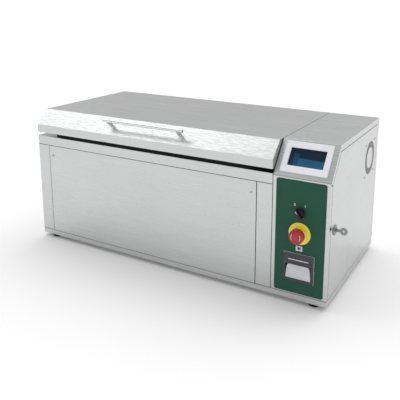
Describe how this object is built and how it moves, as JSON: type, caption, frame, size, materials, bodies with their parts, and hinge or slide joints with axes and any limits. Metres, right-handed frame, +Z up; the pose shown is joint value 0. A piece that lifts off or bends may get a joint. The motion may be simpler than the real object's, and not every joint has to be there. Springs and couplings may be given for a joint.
{
  "type": "water bath",
  "caption": "Bench-top stainless water bath: heated tank under a rear-hinged lid with a slanted front and bar handle, and a control tower with screen, switch, stop button and printer.",
  "frame": {"origin": "middle of the case on the surface that the feet stand on", "axes": "+Z up, -Y towards the front with the controls, +X towards the control tower"},
  "size_m": [1.067, 0.52, 0.4368],
  "materials": {
    "case_steel": "fine brushed stainless sheet",
    "lid_steel": "brushed stainless lid sheet",
    "tank_steel": "satin stainless, inside of the bath",
    "bright_steel": "polished stainless handle, hinges and fasteners",
    "zinc_steel": "plated steel brackets and bolts",
    "black_rubber": "black rubber",
    "grey_wool": "mineral wool",
    "orange_silicone": "silicone heater mat",
    "green_label": "satin dark green panel",
    "white_plastic": "white plastic",
    "display_glass": "dark blue display behind glass",
    "black_plastic": "black plastic",
    "dark_plastic": "dark grey plastic",
    "yellow_plastic": "yellow plastic",
    "red_plastic": "red plastic",
    "grey_plastic": "silver grey plastic",
    "paper": "thermal paper",
    "board_green": "circuit board",
    "brass": "nickel free brass"
  },
  "bodies": {
    "case": {"back_panel": "case_steel", "base_tray": "case_steel", "body_hinge_leaves": "bright_steel", "contact_blocks": "black_plastic", "control_board": "board_green", "door_hinges": "zinc_steel", "drain_pipe": "tank_steel", "drain_spigot": "tank_steel", "drain_valve": "brass", "estop_collar": "yellow_plastic", "estop_disc": "yellow_plastic", "foot_bolts": "zinc_steel", "front_panel": "case_steel", "front_panel_screws": "bright_steel", "front_rail": "case_steel", "heater_mats": "orange_silicone", "hinge_pins": "bright_steel", "hmi_bezel": "white_plastic", "hmi_display": "display_glass", "hmi_housing": "black_plastic", "label_panel": "green_label", "left_corner_post": "case_steel", "left_side_panel": "case_steel", "lid_gasket": "black_rubber", "mains_inlet": "black_plastic", "power_supply": "zinc_steel", "printer_frame": "dark_plastic", "printer_housing": "dark_plastic", "right_pilaster": "case_steel", "rubber_feet": "black_rubber", "switch_collar": "black_plastic", "tank": "tank_steel", "tank_deck": "case_steel", "tank_grid": "tank_steel", "tank_insulation": "grey_wool", "temperature_probe": "tank_steel", "tower_cover": "case_steel", "tower_front": "case_steel", "tower_partition": "case_steel", "usb_socket": "grey_plastic"},
    "lid": {"lid_shell": "lid_steel", "lid_liner": "tank_steel", "lid_insulation": "grey_wool", "handle_bar": "bright_steel", "handle_posts": "bright_steel", "lid_hinge_leaves": "bright_steel"},
    "service_door": {"service_door": "case_steel", "fan_frame": "black_plastic", "fan_screws": "bright_steel", "lock_housing": "bright_steel"},
    "fan_rotor": {"fan_rotor": "black_plastic"},
    "lock": {"lock_plug": "bright_steel", "key": "bright_steel"},
    "switch_knob": {"switch_knob": "black_plastic"},
    "estop_plunger": {"estop_stem": "black_plastic"},
    "estop_head": {"estop_head": "red_plastic"},
    "printer_door": {"printer_door": "grey_plastic"},
    "paper_roll": {"paper_roll": "paper"},
    "drain_handle": {"drain_knob": "black_plastic", "drain_stem": "brass"}
  },
  "joints": [
    {"name": "lid_hinge", "type": "hinge", "parent": "case", "child": "lid", "pos_m": [-0.0795, 0.2345, 0.35775], "axis": [-1, 0, 0], "range_deg": [0, 100]},
    {"name": "service_door_hinge", "type": "hinge", "parent": "case", "child": "service_door", "pos_m": [0.4965, 0.2054, 0.2126], "axis": [0, 0, 1], "range_deg": [0, 100]},
    {"name": "fan_spin", "type": "hinge", "parent": "service_door", "child": "fan_rotor", "pos_m": [0.4695, 0.1365, 0.3264], "axis": [1, 0, 0], "continuous": true},
    {"name": "lock_turn", "type": "hinge", "parent": "service_door", "child": "lock", "pos_m": [0.5, -0.1839, 0.2126], "axis": [-1, 0, 0], "range_deg": [0, 90]},
    {"name": "switch_turn", "type": "hinge", "parent": "case", "child": "switch_knob", "pos_m": [0.4215, -0.2287, 0.2595], "axis": [0, 1, 0], "range_deg": [0, 70]},
    {"name": "estop_push", "type": "slide", "parent": "case", "child": "estop_plunger", "axis": [0, 1, 0], "range_m": [0, 0.0045]},
    {"name": "estop_twist", "type": "hinge", "parent": "estop_plunger", "child": "estop_head", "pos_m": [0.4215, -0.2405, 0.202], "axis": [0, 1, 0], "range_deg": [0, 45], "stiffness_Nm_per_rad": 0.02},
    {"name": "printer_door_hinge", "type": "hinge", "parent": "case", "child": "printer_door", "pos_m": [0.4215, -0.2292, 0.077], "axis": [1, 0, 0], "range_deg": [0, 75]},
    {"name": "paper_roll_spin", "type": "hinge", "parent": "case", "child": "paper_roll", "pos_m": [0.4215, -0.1935, 0.098], "axis": [1, 0, 0], "continuous": true},
    {"name": "drain_turn", "type": "hinge", "parent": "case", "child": "drain_handle", "pos_m": [-0.39, 0.1615, 0.06], "axis": [-1, 0, 0], "range_deg": [0, 90]}
  ]
}
